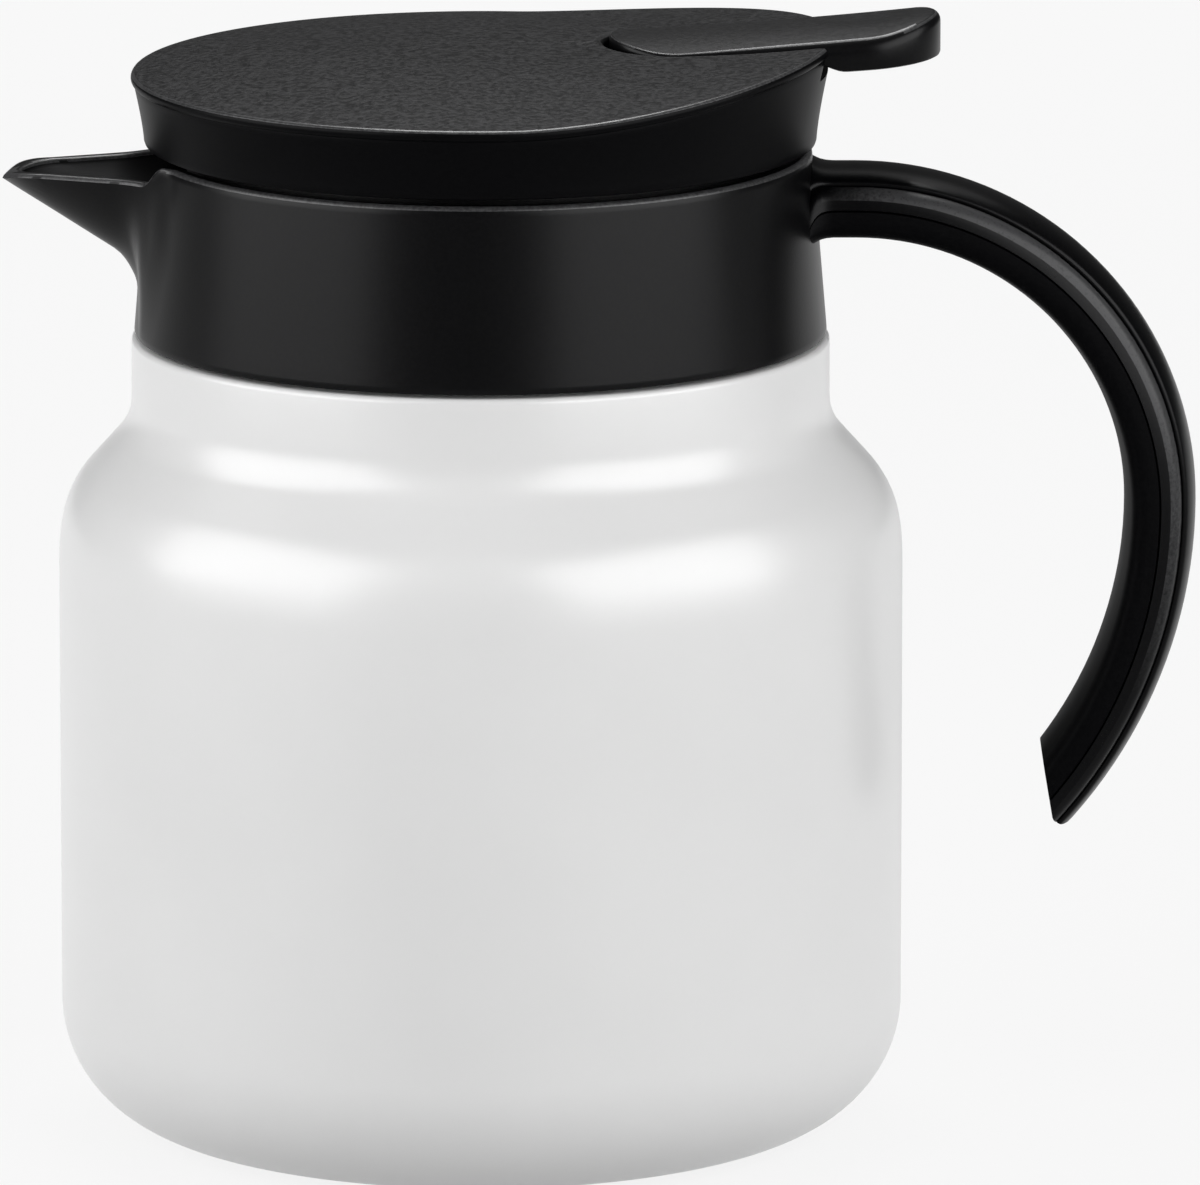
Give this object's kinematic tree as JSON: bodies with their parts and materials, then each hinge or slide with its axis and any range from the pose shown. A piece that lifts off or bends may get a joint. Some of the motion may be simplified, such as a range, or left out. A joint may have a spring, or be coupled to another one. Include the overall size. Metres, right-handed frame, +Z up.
{
  "type": "thermal carafe",
  "caption": "White double-walled carafe with a black collar, beaked spout, open C-shaped handle and a crowned screw lid whose thumb lever lifts a spring-closed pouring valve.",
  "frame": {"origin": "on the jug's axis, in the plane of the foot ring it stands on", "axes": "+Z up along the jug's axis, +X toward the handle, -X toward the spout"},
  "size_m": [0.1765, 0.125, 0.1675],
  "materials": {
    "white_coat": "gloss coat",
    "steel": "satin",
    "getter_metal": "dull",
    "black_plastic": "fine satin",
    "inner_plastic": "satin",
    "silicone": "matte"
  },
  "bodies": {
    "jug": {"outer_shell": "white_coat", "inner_flask": "steel", "base_plate": "steel", "getter_capsule": "getter_metal", "vacuum_plug": "getter_metal", "collar": "black_plastic", "neck_ring": "steel", "neck_seal": "silicone", "handle_frame": "black_plastic", "handle_grip": "black_plastic", "handle_screws": "steel"},
    "seal": {"stopper_gasket": "silicone"},
    "lid": {"lid_cover": "black_plastic", "stopper": "inner_plastic", "stopper_base": "inner_plastic", "base_ring": "silicone", "cover_screws": "steel", "stem_ring": "silicone", "gland_cap": "inner_plastic", "lever_pin": "steel", "valve_spring": "steel"},
    "lever": {"lever": "black_plastic"},
    "valve": {"valve_stem": "inner_plastic", "valve_seal": "silicone", "stem_clip": "steel"}
  },
  "joints": [
    {"name": "lid_lift", "type": "slide", "parent": "jug", "child": "seal", "axis": [0, 0, 1], "range_m": [0, 0.03]},
    {"name": "lid_turn", "type": "hinge", "parent": "seal", "child": "lid", "pos_m": [0, 0, 0.15], "axis": [0, 0, 1], "range_deg": [0, 300]},
    {"name": "lever_press", "type": "hinge", "parent": "lid", "child": "lever", "pos_m": [0.04, 0, 0.15604], "axis": [0, 1, 0], "range_deg": [0, 6], "stiffness_Nm_per_rad": 1.5, "springref_deg": -5.73},
    {"name": "valve_lift", "type": "slide", "parent": "lid", "child": "valve", "axis": [0, 0, 1], "range_m": [0, 0.0042], "deforming": ["valve_spring"]}
  ],
  "couplings": [
    {"joint": "lid_lift", "follows": "lid_turn", "m_per_rad": 0.0057296},
    {"joint": "valve_lift", "follows": "lever_press", "m_per_rad": 0.04}
  ]
}
